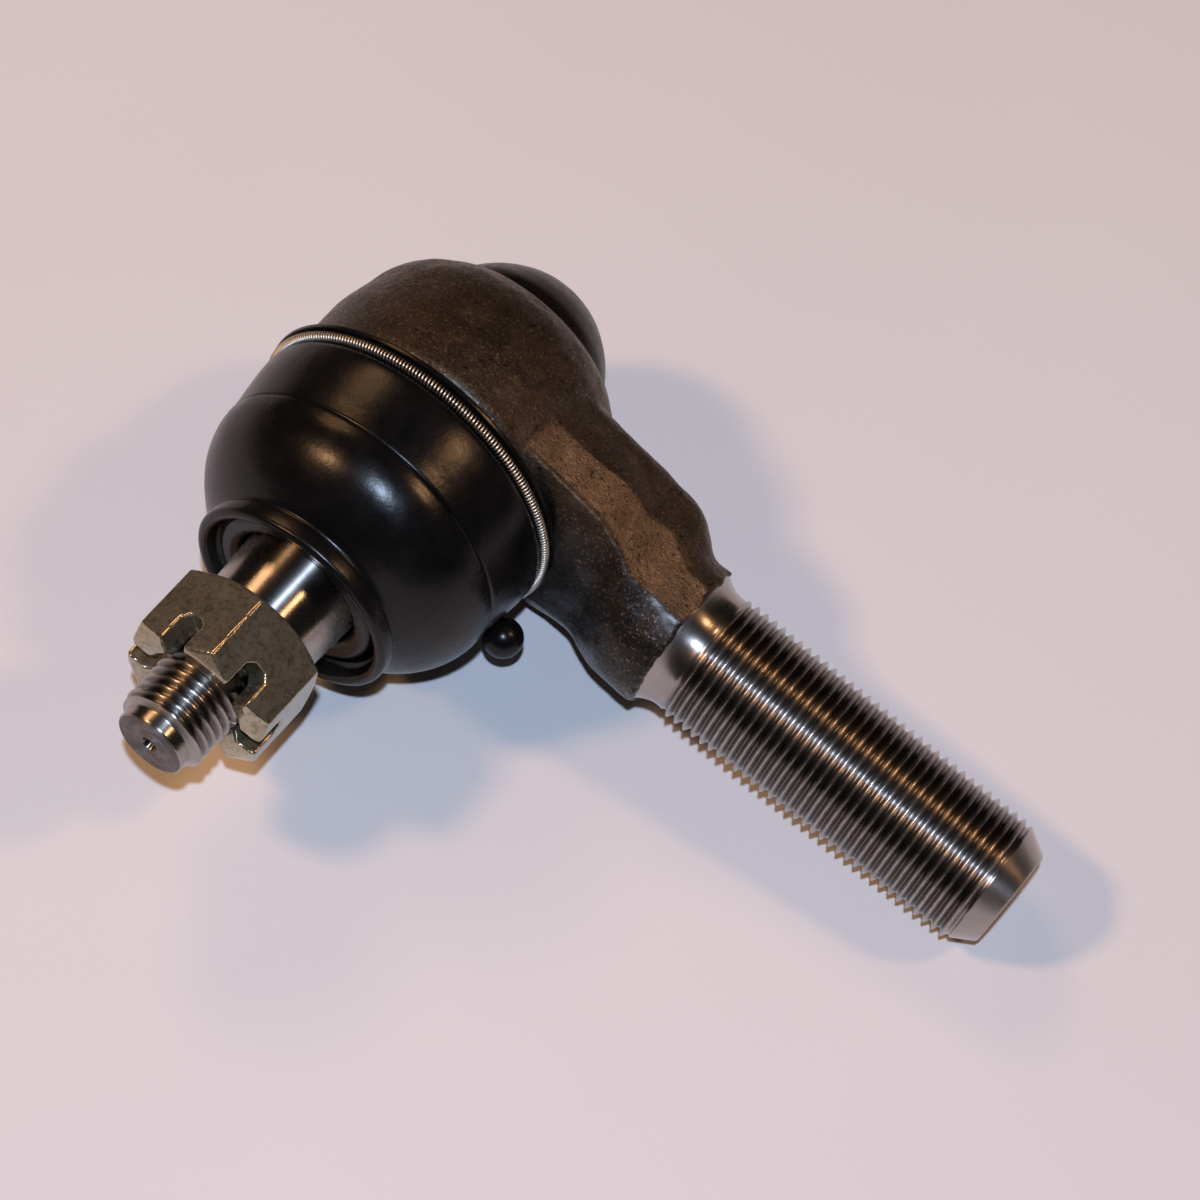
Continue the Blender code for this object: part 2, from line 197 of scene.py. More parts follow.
def lathe(name, profile, steps, closed=True, warp=None, sharp=35):
    """(along, radius) turned about the stud's axis; a profile that isn't closed ends on the axis."""
    rows = ring_points(profile, steps, "Y")
    if warp is not None:
        rows = warp(rows)
    if not closed:
        return skin(name, rows, sharp)
    return make_object(name, world(rows.reshape(-1, 3)), grid_faces(len(rows), steps, True), sharp=sharp)


def apply_modifiers(target, sharp=35):
    """Bakes the modifiers of a piece into its mesh."""
    graph = bpy.context.evaluated_depsgraph_get()
    mesh = bpy.data.meshes.new_from_object(target.evaluated_get(graph))
    target.modifiers.clear()
    old = target.data
    target.data = mesh
    bpy.data.meshes.remove(old)
    finish_mesh(mesh, True, sharp)


def boolean(target, tool, operation):
    """Cuts or joins the tool, and then removes it."""
    modifier = target.modifiers.new("boolean", "BOOLEAN")
    modifier.operation = operation
    modifier.object = tool
    modifier.solver = "EXACT"
    apply_modifiers(target)
    bpy.data.objects.remove(tool)


def remeshed(target, voxel_mm):
    """Rounds every edge: the skin is rebuilt from small voxels and smoothed."""
    remesh = target.modifiers.new("remesh", "REMESH")
    remesh.mode = "VOXEL"
    remesh.voxel_size = voxel_mm * 0.001
    smooth = target.modifiers.new("smooth", "SMOOTH")
    smooth.factor = 0.5
    smooth.iterations = 3
    apply_modifiers(target, 180)


def vertex_values(mesh, name):
    found = np.zeros(len(mesh.vertices) * 3)
    mesh.vertices.foreach_get(name, found)
    return found.reshape(-1, 3)


def local_coordinates(mesh):
    """Vertices in millimetres about the ball."""
    return (vertex_values(mesh, "co") - BALL) @ BASIS.T * 1000


def from_axis(points, axis="Y"):
    """Distance of each point from the stud's axis (Y) or the shank's (X)."""
    return np.hypot(points[:, 0 if axis == "Y" else 1], points[:, 2])


def set_local(mesh, points):
    mesh.vertices.foreach_set("co", world(points).reshape(-1))
    mesh.update()


def smoothstep(low, high, value):
    t = np.clip((value - low) / (high - low), 0, 1)
    return t * t * (3 - 2 * t)


def wave_noise(points, size, seed):
    """Smooth noise of about -1 to 1 at points in mm, with features of that size in mm."""
    shift = Vector((seed * 17.3, seed * 5.1, seed * 9.7))
    return np.array([noise.noise(Vector(p) / size + shift) for p in points])


def mask(mesh, name, values):
    attribute = mesh.attributes.new(name, "FLOAT", "POINT")
    attribute.data.foreach_set("value", np.asarray(values, np.float32))


# ---------------------------------------------------------------- materials


class Paint:
    """A short way to write a node material."""

    def __init__(self, name):
        self.material = bpy.data.materials.new(name)
        self.material.use_nodes = True
        self.tree = self.material.node_tree
        self.shader = self.tree.nodes["Principled BSDF"]
        self.place = self.node("ShaderNodeTexCoord").outputs["Object"]

    def node(self, kind, **settings):
        found = self.tree.nodes.new(kind)
        for key, value in settings.items():
            setattr(found, key, value)
        return found

    def link(self, source, target):
        self.tree.links.new(source, target)

    def stretched(self, scale):
        mapping = self.node("ShaderNodeMapping")
        mapping.inputs["Scale"].default_value = scale
        self.link(self.place, mapping.inputs["Vector"])
        return mapping.outputs["Vector"]

    def noise(self, size_mm, detail=3.0, rough=0.55, vector=None, distortion=0.0):
        found = self.node("ShaderNodeTexNoise")
        found.inputs["Scale"].default_value = 1000.0 / size_mm
        found.inputs["Detail"].default_value = detail
        found.inputs["Roughness"].default_value = rough
        found.inputs["Distortion"].default_value = distortion
        self.link(vector or self.place, found.inputs["Vector"])
        return found.outputs["Fac"]

    def ramp(self, value, *stops):
        """Stops are (position, colour or grey)."""
        found = self.node("ShaderNodeValToRGB")
        elements = found.color_ramp.elements
        while len(elements) < len(stops):
            elements.new(0.5)
        for element, (position, colour) in zip(elements, stops):
            element.position = position
            element.color = (*colour, 1) if isinstance(colour, tuple) else (colour, colour, colour, 1)
        self.link(value, found.inputs["Fac"])
        return found.outputs["Color"]

    def mix(self, factor, first, second, blend="MIX"):
        found = self.node("ShaderNodeMix", data_type="RGBA", blend_type=blend)
        factor_socket = found.inputs[0]
        for socket, value in ((factor_socket, factor), (found.inputs[6], first), (found.inputs[7], second)):
            if isinstance(value, (int, float)):
                socket.default_value = value if socket == factor_socket else (value, value, value, 1)
            elif isinstance(value, tuple):
                socket.default_value = (*value, 1)
            else:
                self.link(value, socket)
        return found.outputs[2]

    def attribute(self, name):
        return self.node("ShaderNodeAttribute", attribute_name=name).outputs["Fac"]

    def maths(self, operation, first, second=0.5):
        found = self.node("ShaderNodeMath", operation=operation)
        for socket, value in zip(found.inputs, (first, second)):
            if isinstance(value, (int, float)):
                socket.default_value = value
            else:
                self.link(value, socket)
        return found.outputs[0]

    def bump(self, height, depth_mm, before=None):
        found = self.node("ShaderNodeBump")
        found.inputs["Strength"].default_value = 1.0
        found.inputs["Distance"].default_value = depth_mm * 0.001
        self.link(height, found.inputs["Height"])
        if before:
            self.link(before, found.inputs["Normal"])
        return found.outputs["Normal"]

    def piece_direction(self, direction):
        """A direction fixed in the piece, as the shader's world vector."""
        found = self.node("ShaderNodeVectorTransform", vector_type="VECTOR")
        found.convert_from = "OBJECT"
        found.convert_to = "WORLD"
        found.inputs[0].default_value = tuple(direction)
        return found.outputs[0]

    def set(self, **values):
        names = {"colour": "Base Color", "rough": "Roughness", "metal": "Metallic", "normal": "Normal",
                 "specular": "Specular IOR Level", "coat": "Coat Weight", "coat_rough": "Coat Roughness",
                 "streak": "Anisotropic", "tangent": "Tangent"}
        for key, value in values.items():
            socket = self.shader.inputs[names[key]]
            if isinstance(value, (int, float)):
                socket.default_value = value
            elif isinstance(value, tuple):
                socket.default_value = (*value, 1)
            else:
                self.link(value, socket)
        return self.material


def rubber_material():
    """Smooth black rubber with a little dust."""
    p = Paint("moulded_rubber")
    dust = p.noise(9.0, 5, 0.65)
    fine = p.noise(0.35, 3, 0.6)
    colour = p.ramp(dust, (0.35, (0.0022, 0.0021, 0.0024)), (0.75, (0.0075, 0.0066, 0.0060)))
    specks = p.ramp(p.noise(0.5, 2, 0.75), (0.72, 0.0), (0.80, 1.0))
    colour = p.mix(p.maths("MULTIPLY", specks, 0.10), colour, (0.07, 0.06, 0.05))
    rough = p.ramp(p.noise(4.0, 5, 0.65), (0.3, 0.21), (0.7, 0.32))
    normal = p.bump(fine, 0.010, p.bump(p.noise(1.1, 3, 0.6), 0.018, p.bump(p.noise(4.0, 3), 0.06)))
    return p.set(colour=colour, rough=rough, normal=normal, specular=0.27)


def forged_material():
    """Dark scale with flecks and pits; the "land" mask turns it into bare, browned steel."""
    p = Paint("forged_scale")
    land = p.attribute("land")
    patch = p.noise(4.5, 6, 0.68)
    grain = p.noise(0.46, 4, 0.66)
    fine = p.noise(0.22, 2, 0.6)
    dark = p.ramp(
        patch,
        (0.30, (0.011, 0.0085, 0.0075)),
        (0.55, (0.022, 0.0165, 0.013)),
        (0.75, (0.046, 0.034, 0.025)),
    )
    bright = p.ramp(
        patch, (0.30, (0.10, 0.063, 0.035)), (0.55, (0.185, 0.120, 0.068)), (0.75, (0.31, 0.205, 0.122))
    )
    colour = p.mix(land, dark, bright)
    flecks = p.ramp(grain, (0.57, 0.0), (0.66, 1.0))
    colour = p.mix(p.maths("MULTIPLY", flecks, 0.55), colour, (0.27, 0.205, 0.145))
    pits = p.ramp(p.noise(0.7, 3, 0.7), (0.32, 0.20), (0.44, 1.0))
    colour = p.mix(1.0, colour, pits, "MULTIPLY")
    rough = p.ramp(grain, (0.35, 0.48), (0.7, 0.26))
    normal = p.bump(grain, 0.12, p.bump(fine, 0.045, p.bump(p.noise(1.6, 4, 0.6), 0.16)))
    coat = p.ramp(land, (0.0, 0.32), (0.22, 0.0))
    return p.set(
        colour=colour, rough=rough, normal=normal, metal=0.74, specular=0.3, coat=coat, coat_rough=0.27
    )


def machined_material(name, base, rough, lines, along, streak=0.85, groove_shade_share=0.37):
    """Turned steel: tool lines round the axis, faint stains, painted shade in the grooves and a dull sawn
    face.

    rough is the lowest and highest roughness, and lines the tool lines' spacing and depth in mm.
    """
    p = Paint(name)
    stain = p.noise(5.0, 4, 0.6)
    colour = p.ramp(stain, (0.3, tuple(v * 0.80 for v in base)), (0.65, base))
    # Painted shade: the groove mask darkens thread roots, drilled holes and the gaps between coil turns.
    colour = p.mix(p.attribute("groove"), colour, tuple(v * groove_shade_share for v in base))
    face = p.attribute("face")
    sawn = p.ramp(p.noise(0.9, 5, 0.7), (0.35, (0.14, 0.125, 0.125)), (0.65, (0.23, 0.21, 0.205)))
    colour = p.mix(face, colour, sawn)
    roughness = p.ramp(p.noise(2.0, 4, 0.6), (0.3, rough[0]), (0.7, rough[1]))
    roughness = p.mix(face, roughness, 0.55)
    spacing, depth = lines
    normal = p.bump(tool_lines(p, along, spacing), depth)
    # The streaks' direction leans a little, as it must not be parallel to a flat end's normal.
    tangent = p.piece_direction(np.asarray(along) + 0.002 * BASIS.sum(0))
    return p.set(colour=colour, rough=roughness, normal=normal, metal=1.0, streak=streak, tangent=tangent)


def tool_lines(p, along, line_mm):
    """Noise that changes only along one of the piece's own axes."""
    dot = p.node("ShaderNodeVectorMath", operation="DOT_PRODUCT")
    p.link(p.place, dot.inputs[0])
    dot.inputs[1].default_value = tuple(along)
    join = p.node("ShaderNodeCombineXYZ")
    p.link(dot.outputs["Value"], join.inputs[0])
    return p.noise(line_mm, 3, 0.6, join.outputs[0])


def zinc_material():
    """Yellow zinc plate with stains and scratches, and painted shade in the nut's bore."""
    p = Paint("yellow_zinc")
    cloud = p.noise(3.5, 5, 0.62)
    grain = p.noise(0.4, 3, 0.6)
    colour = p.ramp(
        cloud, (0.28, (0.36, 0.30, 0.195)), (0.52, (0.45, 0.385, 0.265)), (0.76, (0.55, 0.485, 0.36))
    )
    scratch = p.ramp(p.noise(0.9, 5, 0.75, p.stretched((1.0, 0.10, 0.45)), 0.8), (0.60, 0.0), (0.66, 1.0))
    colour = p.mix(p.maths("MULTIPLY", scratch, 0.45), colour, (0.68, 0.62, 0.50))
    stain = p.ramp(p.noise(0.8, 5, 0.7), (0.36, 0.55), (0.52, 1.0))
    colour = p.mix(1.0, colour, stain, "MULTIPLY")
    rough = p.ramp(p.noise(1.2, 4, 0.65), (0.3, 0.21), (0.7, 0.14))
    normal = p.bump(grain, 0.006, p.bump(p.noise(2.0, 4, 0.6), 0.006))
    # Painted shade: the inside mask darkens the nut's bore.
    colour = p.mix(p.attribute("inside"), colour, (0.16, 0.15, 0.13))
    return p.set(colour=colour, rough=rough, normal=normal, metal=0.84)


def cap_material():
    p = Paint("pressed_cap")
    cloud = p.noise(5.0, 5, 0.6)
    colour = p.ramp(
        cloud, (0.3, (0.008, 0.0065, 0.0055)), (0.6, (0.016, 0.012, 0.0095)), (0.8, (0.034, 0.026, 0.020))
    )
    rough = p.ramp(p.noise(1.4, 4, 0.6), (0.3, 0.26), (0.7, 0.40))
    normal = p.bump(p.noise(0.6, 3), 0.02, p.bump(p.noise(6.0, 3), 0.08))
    return p.set(colour=colour, rough=rough, normal=normal, metal=0.6, specular=0.3)


def bearing_material():
    p = Paint("bearing_resin")
    cloud = p.noise(3.0, 4)
    colour = p.ramp(cloud, (0.3, (0.50, 0.47, 0.38)), (0.7, (0.64, 0.61, 0.52)))
    rough = p.ramp(p.noise(0.8, 3), (0.3, 0.36), (0.7, 0.5))
    return p.set(colour=colour, rough=rough, normal=p.bump(p.noise(0.5, 3), 0.02))


def rim_material():
    """Steel rubbed bright where the edge was rolled."""
    p = Paint("rolled_rim")
    wear = p.noise(1.4, 4, 0.65)
    colour = p.ramp(
        wear, (0.35, (0.045, 0.034, 0.026)), (0.55, (0.12, 0.092, 0.07)), (0.72, (0.26, 0.21, 0.17))
    )
    rough = p.ramp(p.noise(0.8, 3), (0.3, 0.30), (0.7, 0.46))
    return p.set(colour=colour, rough=rough, metal=0.85, normal=p.bump(p.noise(0.5, 3), 0.03))


def floor_material():
    p = Paint("pale_table")
    cloud = p.noise(160.0, 4, 0.55)
    colour = p.ramp(cloud, (0.30, (0.745, 0.735, 0.735)), (0.70, (0.775, 0.768, 0.765)))
    marks = p.ramp(p.noise(14.0, 6, 0.7), (0.70, 0.0), (0.86, 1.0))
    colour = p.mix(p.maths("MULTIPLY", marks, 0.16), colour, (0.56, 0.52, 0.49))
    normal = p.bump(p.noise(1.2, 4, 0.6), 0.03)
    return p.set(colour=colour, rough=0.62, normal=normal, specular=0.3)


RUBBER = rubber_material()
FORGED = forged_material()
SHANK_STEEL = machined_material(
    "turned_shank", (0.44, 0.41, 0.385), (0.26, 0.32), (0.14, 0.004), X_AXIS, 0.84
)
STUD_STEEL = machined_material("ground_stud", (0.48, 0.45, 0.42), (0.24, 0.30), (0.12, 0.002), Y_AXIS, 0.95)
THREAD_STEEL = machined_material("rolled_thread", (0.42, 0.39, 0.36), (0.26, 0.34), (0.2, 0.003), Y_AXIS)
# Its groove share paints shade into the gaps between the garter's turns.
COIL_STEEL = machined_material(
    "spring_wire", (0.90, 0.82, 0.70), (0.30, 0.38), (0.3, 0.002), Y_AXIS, 0.0, 0.06
)
ZINC = zinc_material()
CAP = cap_material()
RESIN = bearing_material()
RIM = rim_material()


def finish_piece(piece, body, material, slot, *nodes):
    """Paints a piece, puts it on its body and hides the CAD nodes that it stands for; the slot is not used.
    """
    piece.data.materials.clear()
    piece.data.materials.append(material)
    if body:
        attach(piece, body)
    if nodes:
        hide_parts(*nodes)


# ---------------------------------------------------------------- housing

BORE = 16.5
LAND_RADIUS = 22.6
NECK_STEPS = 4
AROUND_STEPS = 5

# Half outlines (y, z) of the neck at each x, from the middle of the front over the top to the
# middle of the back; the fifth point stands over the parting line and is trimmed to the land.
NECK = (
    (4.0, ((-4.3, 0), (-4.3, 8.0), (-4.3, 14.5), (-2.2, 21.5), (0.7, 22.4), (3.6, 21.7), (9.0, 20.2),
           (14.0, 15.5), (16.8, 0))),
    (13.0, ((-4.3, 0), (-4.3, 7.0), (-4.3, 12.6), (-2.2, 18.5), (0.7, 19.4), (3.6, 18.6), (9.0, 17.0),
            (13.6, 13.3), (16.6, 0))),
    (18.0, ((-4.6, 0), (-4.6, 6.4), (-4.5, 11.4), (-2.2, 17.4), (0.7, 18.3), (3.6, 17.5), (9.0, 15.7),
            (13.3, 12.4), (16.3, 0))),
    (23.0, ((-5.15, 0), (-5.15, 5.5), (-5.1, 9.8), (-2.2, 16.5), (0.7, 17.4), (3.6, 16.6), (9.0, 14.6),
            (13.0, 11.8), (16.0, 0))),
    (27.0, ((-5.7, 0), (-5.7, 4.5), (-5.6, 8.4), (-2.3, 15.5), (0.6, 16.4), (3.5, 15.6), (9.0, 13.8),
            (12.9, 11.0), (15.6, 0))),
    (30.8, ((-6.6, 0), (-6.6, 4.0), (-6.3, 7.4), (-3.0, 13.8), (0.0, 14.6), (3.2, 14.0), (8.6, 12.5),
            (12.8, 10.2), (15.35, 0))),
    (34.0, ((-8.6, 0), (-8.5, 4.0), (-7.6, 7.4), (-4.3, 12.1), (-1.0, 13.0), (2.2, 12.7), (8.3, 11.7),
            (12.8, 9.6), (15.3, 0))),
    (36.5, ((-10.6, 0), (-10.0, 4.0), (-8.4, 7.7), (-4.5, 11.4), (-1.2, 12.4), (2.0, 12.0), (7.6, 11.1),
            (12.0, 8.8), (14.5, 0))),
    (39.0, ((-11.2, 0), (-10.5, 4.3), (-8.2, 8.1), (-4.5, 11.0), (-1.2, 11.9), (1.8, 11.6), (6.8, 10.2),
            (10.5, 7.5), (12.8, 0))),
    (41.2, ((-11.35, 0), (-10.6, 4.3), (-8.4, 8.2), (-4.4, 11.0), (-1.2, 11.7), (1.6, 11.4), (6.0, 9.6),
            (9.2, 6.6), (11.3, 0))),
    (44.0, ((-11.5, 0), (-10.7, 4.3), (-8.3, 8.1), (-4.3, 10.9), (-1.2, 11.6), (1.6, 11.3), (6.0, 9.5),
            (9.2, 6.4), (11.2, 0))),
)
# Height z of the trimmed land at each x
LAND_TOP = (
    (0, 22.6), (8, 21.1), (13, 18.45), (16.7, 17.5), (23, 16.4), (26.8, 15.5), (30.8, 13.7), (34.3, 12.1),
    (37, 11.5), (40, 11.15), (44, 10.95),
)


def neck_solid():
    stations = curve_through([(x,) for x, _ in NECK], NECK_STEPS)
    outlines = [outline for _, outline in NECK]
    blended = []
    for k in range(len(outlines[0])):
        blended.append(curve_through([outline[k] for outline in outlines], NECK_STEPS))
    rows = []
    for i, (x,) in enumerate(stations):
        half = [line[i] for line in blended]
        other = [(y, -z) for y, z in half[-2:0:-1]]
        around = curve_through(half + other, AROUND_STEPS, closed=True)
        rows.append([(x, y, z) for y, z in around])
    return skin("neck_solid", np.array(rows))


def forging_solid():
    """The eye and the neck in one, with the bore cut out and every edge rounded."""
    eye = rounded(
        [
            (18.3, 0.0, 0.0), (18.3, 16.9, 0.4), (15.6, 19.5, 1.2), (12.6, 21.1, 1.5), (6.0, 22.25, 2.0),
            (0.7, 23.3, 0.6), (-3.4, 22.5, 0.6), (-4.3, 21.8, 0.4), (-4.3, 20.5, 0.0), (-9.4, 20.5, 0.3),
            (-10.0, 19.9, 0.3), (-10.0, 0.0, 0.0),
        ]
    )
    forging = lathe("housing_forging", eye, 160, closed=False)
    boolean(forging, neck_solid(), "UNION")
    hollow = [
        (30.0, 0.0), (30.0, BORE), (-7.0, BORE), (-7.0, 13.2), (-10.0, 16.4), (-12.0, 16.4), (-12.0, 0.0),
    ]
    boolean(forging, lathe("bore", hollow, 160, closed=False), "DIFFERENCE")
    remeshed(forging, 0.45)
    return forging


def trimmed(points, middle, quick):
    """Cuts the forging's sides back to the land that the trimming die leaves."""
    points = points.copy()
    xs, tops = zip(*LAND_TOP)
    top = np.interp(points[:, 0], xs, tops) + middle * 0.02 + quick * 0.02
    on_neck = points[:, 0] > 12.5
    over = on_neck & (np.abs(points[:, 2]) > top)
    points[over, 2] = np.sign(points[over, 2]) * top[over]
    radius = from_axis(points)
    limit = LAND_RADIUS + quick * 0.02
    over_eye = ~on_neck & (radius > limit)
    points[over_eye, 0] *= (limit / radius)[over_eye]
    points[over_eye, 2] *= (limit / radius)[over_eye]
    return points


def housing_forging():
    """The forged eye and neck: uneven skin, trimmed land and masks for its material."""
    forging = forging_solid()
    mesh = forging.data
    p = local_coordinates(mesh)
    normals = vertex_values(mesh, "normal") @ BASIS.T
    # The bore and the front seat are machined, so they stay even.
    outside = np.maximum(smoothstep(17.6, 18.6, from_axis(p)), smoothstep(20, 22, p[:, 0]))
    outside *= 1 - (1 - smoothstep(-4.6, -4.1, p[:, 1])) * (1 - smoothstep(21, 25, p[:, 0]))
    slow = wave_noise(p, 5.5, 1)
    middle = wave_noise(p, 2.0, 2)
    quick = wave_noise(p, 0.8, 3)
    raised = slow * 0.22 + middle * 0.09 + quick * 0.030
    p = p + normals * (raised * outside)[:, None]
    before = p
    p = trimmed(p, middle, quick)
    moved = np.linalg.norm(p - before, axis=1)
    # The neck's end runs unevenly into the turned flare.
    p[:, 0] += smoothstep(41.5, 43.6, p[:, 0]) * (middle * 0.40 + slow * 0.25)
    set_local(mesh, p)
    facing_out = np.abs(normals[:, 1]) < 0.5
    land = smoothstep(0.0, 0.12, moved) * facing_out * smoothstep(9.0, 19.0, p[:, 0] + slow * 3)
    back_side = smoothstep(-4.6, -2.6, p[:, 1] + middle * 0.3)
    towards_shank = smoothstep(2.0, 16.0, p[:, 0] + slow * 4)
    mask(mesh, "land", land * 0.74 + back_side * (0.20 + 0.10 * towards_shank))
    mesh.shade_smooth()
    finish_piece(forging, "housing", FORGED, "forged_steel", "housing")


def housing_rim():
    """The rolled edge that holds the end cap."""
    profile = rounded(
        [
            (17.6, 16.45, 0.0), (17.9, 14.9, 0.3), (18.2, 14.5, 0.4), (18.95, 14.7, 0.4), (18.9, 15.6, 0.4),
            (18.0, 17.15, 0.5), (17.0, 17.9, 0.3), (16.6, 17.4, 0.0),
        ],
        closed=True,
    )

    def uneven(rows):
        angle = np.arctan2(rows[..., 2], rows[..., 0])
        rows[..., 1] += 0.07 * np.sin(angle * 3 + 0.8) + 0.04 * np.sin(angle * 7)
        return rows

    rim = lathe("housing_rim", profile, 160, warp=uneven)
    finish_piece(rim, "housing", RIM, "forged_steel")


def thread_radius(turns, crest, root):
    """Radius of a 60 degree thread at this many turns past a crest, with a flat crest and round root."""
    phase = np.abs((turns + 0.5) % 1.0 - 0.5) * 2
    height = np.clip(1.0 - (phase - 0.10) / 0.80, 0, 1)
    height = np.where(height < 0.14, 0.07 + height * height * 3.57, height)
    return root + (crest - root) * np.clip(height, 0.03, 1)


def threaded(name, limits, radius_at, pitch, first_crest, steps, per_pitch, axis, ends):
    """A closed threaded rod: radius_at(along, thread turns) gives the wall; ends are closing profiles."""
    low, high = limits
    count = int(round((high - low) / pitch * per_pitch)) + 1
    along = np.linspace(low, high, count)
    angles = np.arange(steps) * math.tau / steps
    turns = (along[:, None] - first_crest) / pitch - angles[None, :] / math.tau
    along = along[:, None] + angles[None, :] * 0
    radius = radius_at(along, turns)
    wall = np.stack([along, radius * np.cos(angles), radius * np.sin(angles)], 2)
    before, after = ends
    grid = np.concatenate([ring_points(before, steps, "X"), wall, ring_points(after, steps, "X")])
    if axis == "Y":
        grid = grid[..., [2, 0, 1]]
    return skin(name, grid, sharp=50)


def groove_depth(radius, crest, root):
    """0 near a thread's crest to 1 near its root, for the painted shade in the thread's roots."""
    return smoothstep(0.10, 0.75, (crest - radius) / (crest - root))


def housing_shank():
    """Turned flare, relief, M20x1.5 thread and chamfered end."""
    crest, root, relief = 9.93, 9.02, 9.38
    thread_end, chamfer_slope = 96.9, 0.60

    def wall(along, turns):
        radius = thread_radius(turns, crest, root)
        cut_in = smoothstep(47.4, 49.2, along)
        radius = relief + (radius - relief) * cut_in
        chamfer = crest - 0.02 - (along - thread_end - 0.35) * chamfer_slope
        return np.where(along > thread_end, np.minimum(radius, chamfer), radius)

    flare = curve_through(
        [
            (42.4, 10.9), (43.4, 10.9), (44.0, 10.68), (44.6, 10.25), (45.4, 9.8), (46.3, 9.49),
            (47.0, 9.39),
        ],
        5,
    )
    start = [(42.4, 0.0), (42.4, 6.0)] + flare[:-1]
    end = rounded(
        [(99.7, 8.47, 0), (101.45, 7.4, 0.35), (101.6, 6.9, 0.2), (101.6, 3.0, 0), (101.6, 0.0, 0)]
    )[1:]
    shank = threaded("housing_shank", (47.0, 99.6), wall, 1.5, 48.3, 144, 14, "X", (start, end))
    p = local_coordinates(shank.data)
    inside = smoothstep(47.6, 49.0, p[:, 0]) * (1 - smoothstep(thread_end, thread_end + 0.5, p[:, 0]))
    # Painted shade in the thread's roots.
    mask(shank.data, "groove", groove_depth(from_axis(p, "X"), crest, root) * inside)
    mask(shank.data, "face", smoothstep(101.5, 101.58, p[:, 0]))
    finish_piece(shank, "housing", SHANK_STEEL, "forged_steel")


# ---------------------------------------------------------------- stud and nut


BALL_RADIUS = 14.0
STUD_TIP = -62.6
PIN_HOLE_Y = -50.4
PIN_HOLE_RADIUS = 1.6
PIN_HOLE_ANGLE = 60


def stud_body():
    """The ball, its neck and the ground cone."""
    angles = np.radians(np.linspace(72, -60, 40))
    ball = [(BALL_RADIUS * math.sin(a), BALL_RADIUS * math.cos(a)) for a in angles]
    first, last = ball[0], ball[-1]
    cone = rounded(
        [
            (last[0] - 0.3, last[1] - 0.1, 0), (-16.4, 7.0, 1.2), (-19.6, 9.55, 0.6), (-20.6, 9.72, 0.3),
            (-40.1, 8.72, 0.35), (-40.3, 6.2, 0.0),
        ]
    )
    profile = [(first[0], 0.0)] + ball + cone + [(-40.3, 0.0)]
    body = lathe("stud_body", profile, 160, closed=False)
    finish_piece(body, "stud", STUD_STEEL, "polished_steel", "ball_stud")


def stud_thread():
    """Thread, dog point and centre-drilled tip, with the split pin's hole."""
    crest, root, point = 6.62, 5.95, 5.33

    def wall(along, turns):
        radius = thread_radius(turns, crest, root)
        lead = point + smoothstep(STUD_TIP + 1.9, STUD_TIP + 2.8, along) * 1.6
        return np.minimum(radius, lead)

    drilled = [(3.0, 0.0), (2.6, 0.55), (1.2, 0.95)]
    face = rounded(
        [(0.5, 1.05, 0), (0, 1.25, 0.12), (0, 5.05, 0.25), (0.30, point, 0.2), (0.55, point, 0)], 0.2
    )
    start = [(STUD_TIP + along, radius) for along, radius in drilled + face]
    end = [(-39.9, 5.9), (-39.9, 0.0)]
    limits = (STUD_TIP + 0.7, -39.95)
    thread = threaded("stud_thread", limits, wall, 1.5, -58.6, 120, 14, "Y", (start, end))
    add_pin_hole(thread)
    p = local_coordinates(thread.data)
    radius = from_axis(p)
    # Painted shade in the thread's roots and, darkest, in the centre drilling.
    groove = groove_depth(radius, crest, root) * smoothstep(STUD_TIP + 2.4, STUD_TIP + 3.2, p[:, 1])
    in_drilling = (radius < 1.2) & (p[:, 1] < STUD_TIP + 3.2)
    mask(thread.data, "groove", np.where(in_drilling, 1.6, groove))
    mask(thread.data, "face", (p[:, 1] < STUD_TIP + 0.1) & (radius > 1.1))
    finish_piece(thread, "stud", THREAD_STEEL, "polished_steel")


def add_pin_hole(thread):
    angle = math.radians(PIN_HOLE_ANGLE)
    along = Vector(np.array([math.cos(angle), 0.0, math.sin(angle)]) @ BASIS)
    middle = Vector(world((0, PIN_HOLE_Y, 0)))
    radius = PIN_HOLE_RADIUS * 0.001
    shape = bmesh.new()
    bmesh.ops.create_cone(shape, cap_ends=True, segments=32, radius1=radius, radius2=radius, depth=0.020)
    mesh = bpy.data.meshes.new("pin_hole")
    shape.to_mesh(mesh)
    shape.free()
    tool = bpy.data.objects.new("pin_hole", mesh)
    bpy.context.scene.collection.objects.link(tool)
    tool.matrix_world = Matrix.Translation(middle) @ along.to_track_quat("Z", "Y").to_matrix().to_4x4()
    bpy.context.view_layer.update()
    boolean(thread, tool, "DIFFERENCE")


def prism(name, low_end, high_end):
    """A closed flat-sided bar between two outlines of (x, y, z) points."""
    count = len(low_end)
    faces = [(i, (i + 1) % count, count + (i + 1) % count, count + i) for i in range(count)]
    faces.append(tuple(range(count)))
    faces.append(tuple(range(count, 2 * count)))
    return make_object(name, world(list(low_end) + list(high_end)), faces, smooth=False)


NUT_FLAT = 11.0
NUT_FRONT = -53.5
NUT_REAR = -40.55
NUT_CHAMFER = math.tan(math.radians(30))
SLOT_HALF = 1.95
SLOT_DEPTH = 5.45
SLOT_CORNER = 1.15


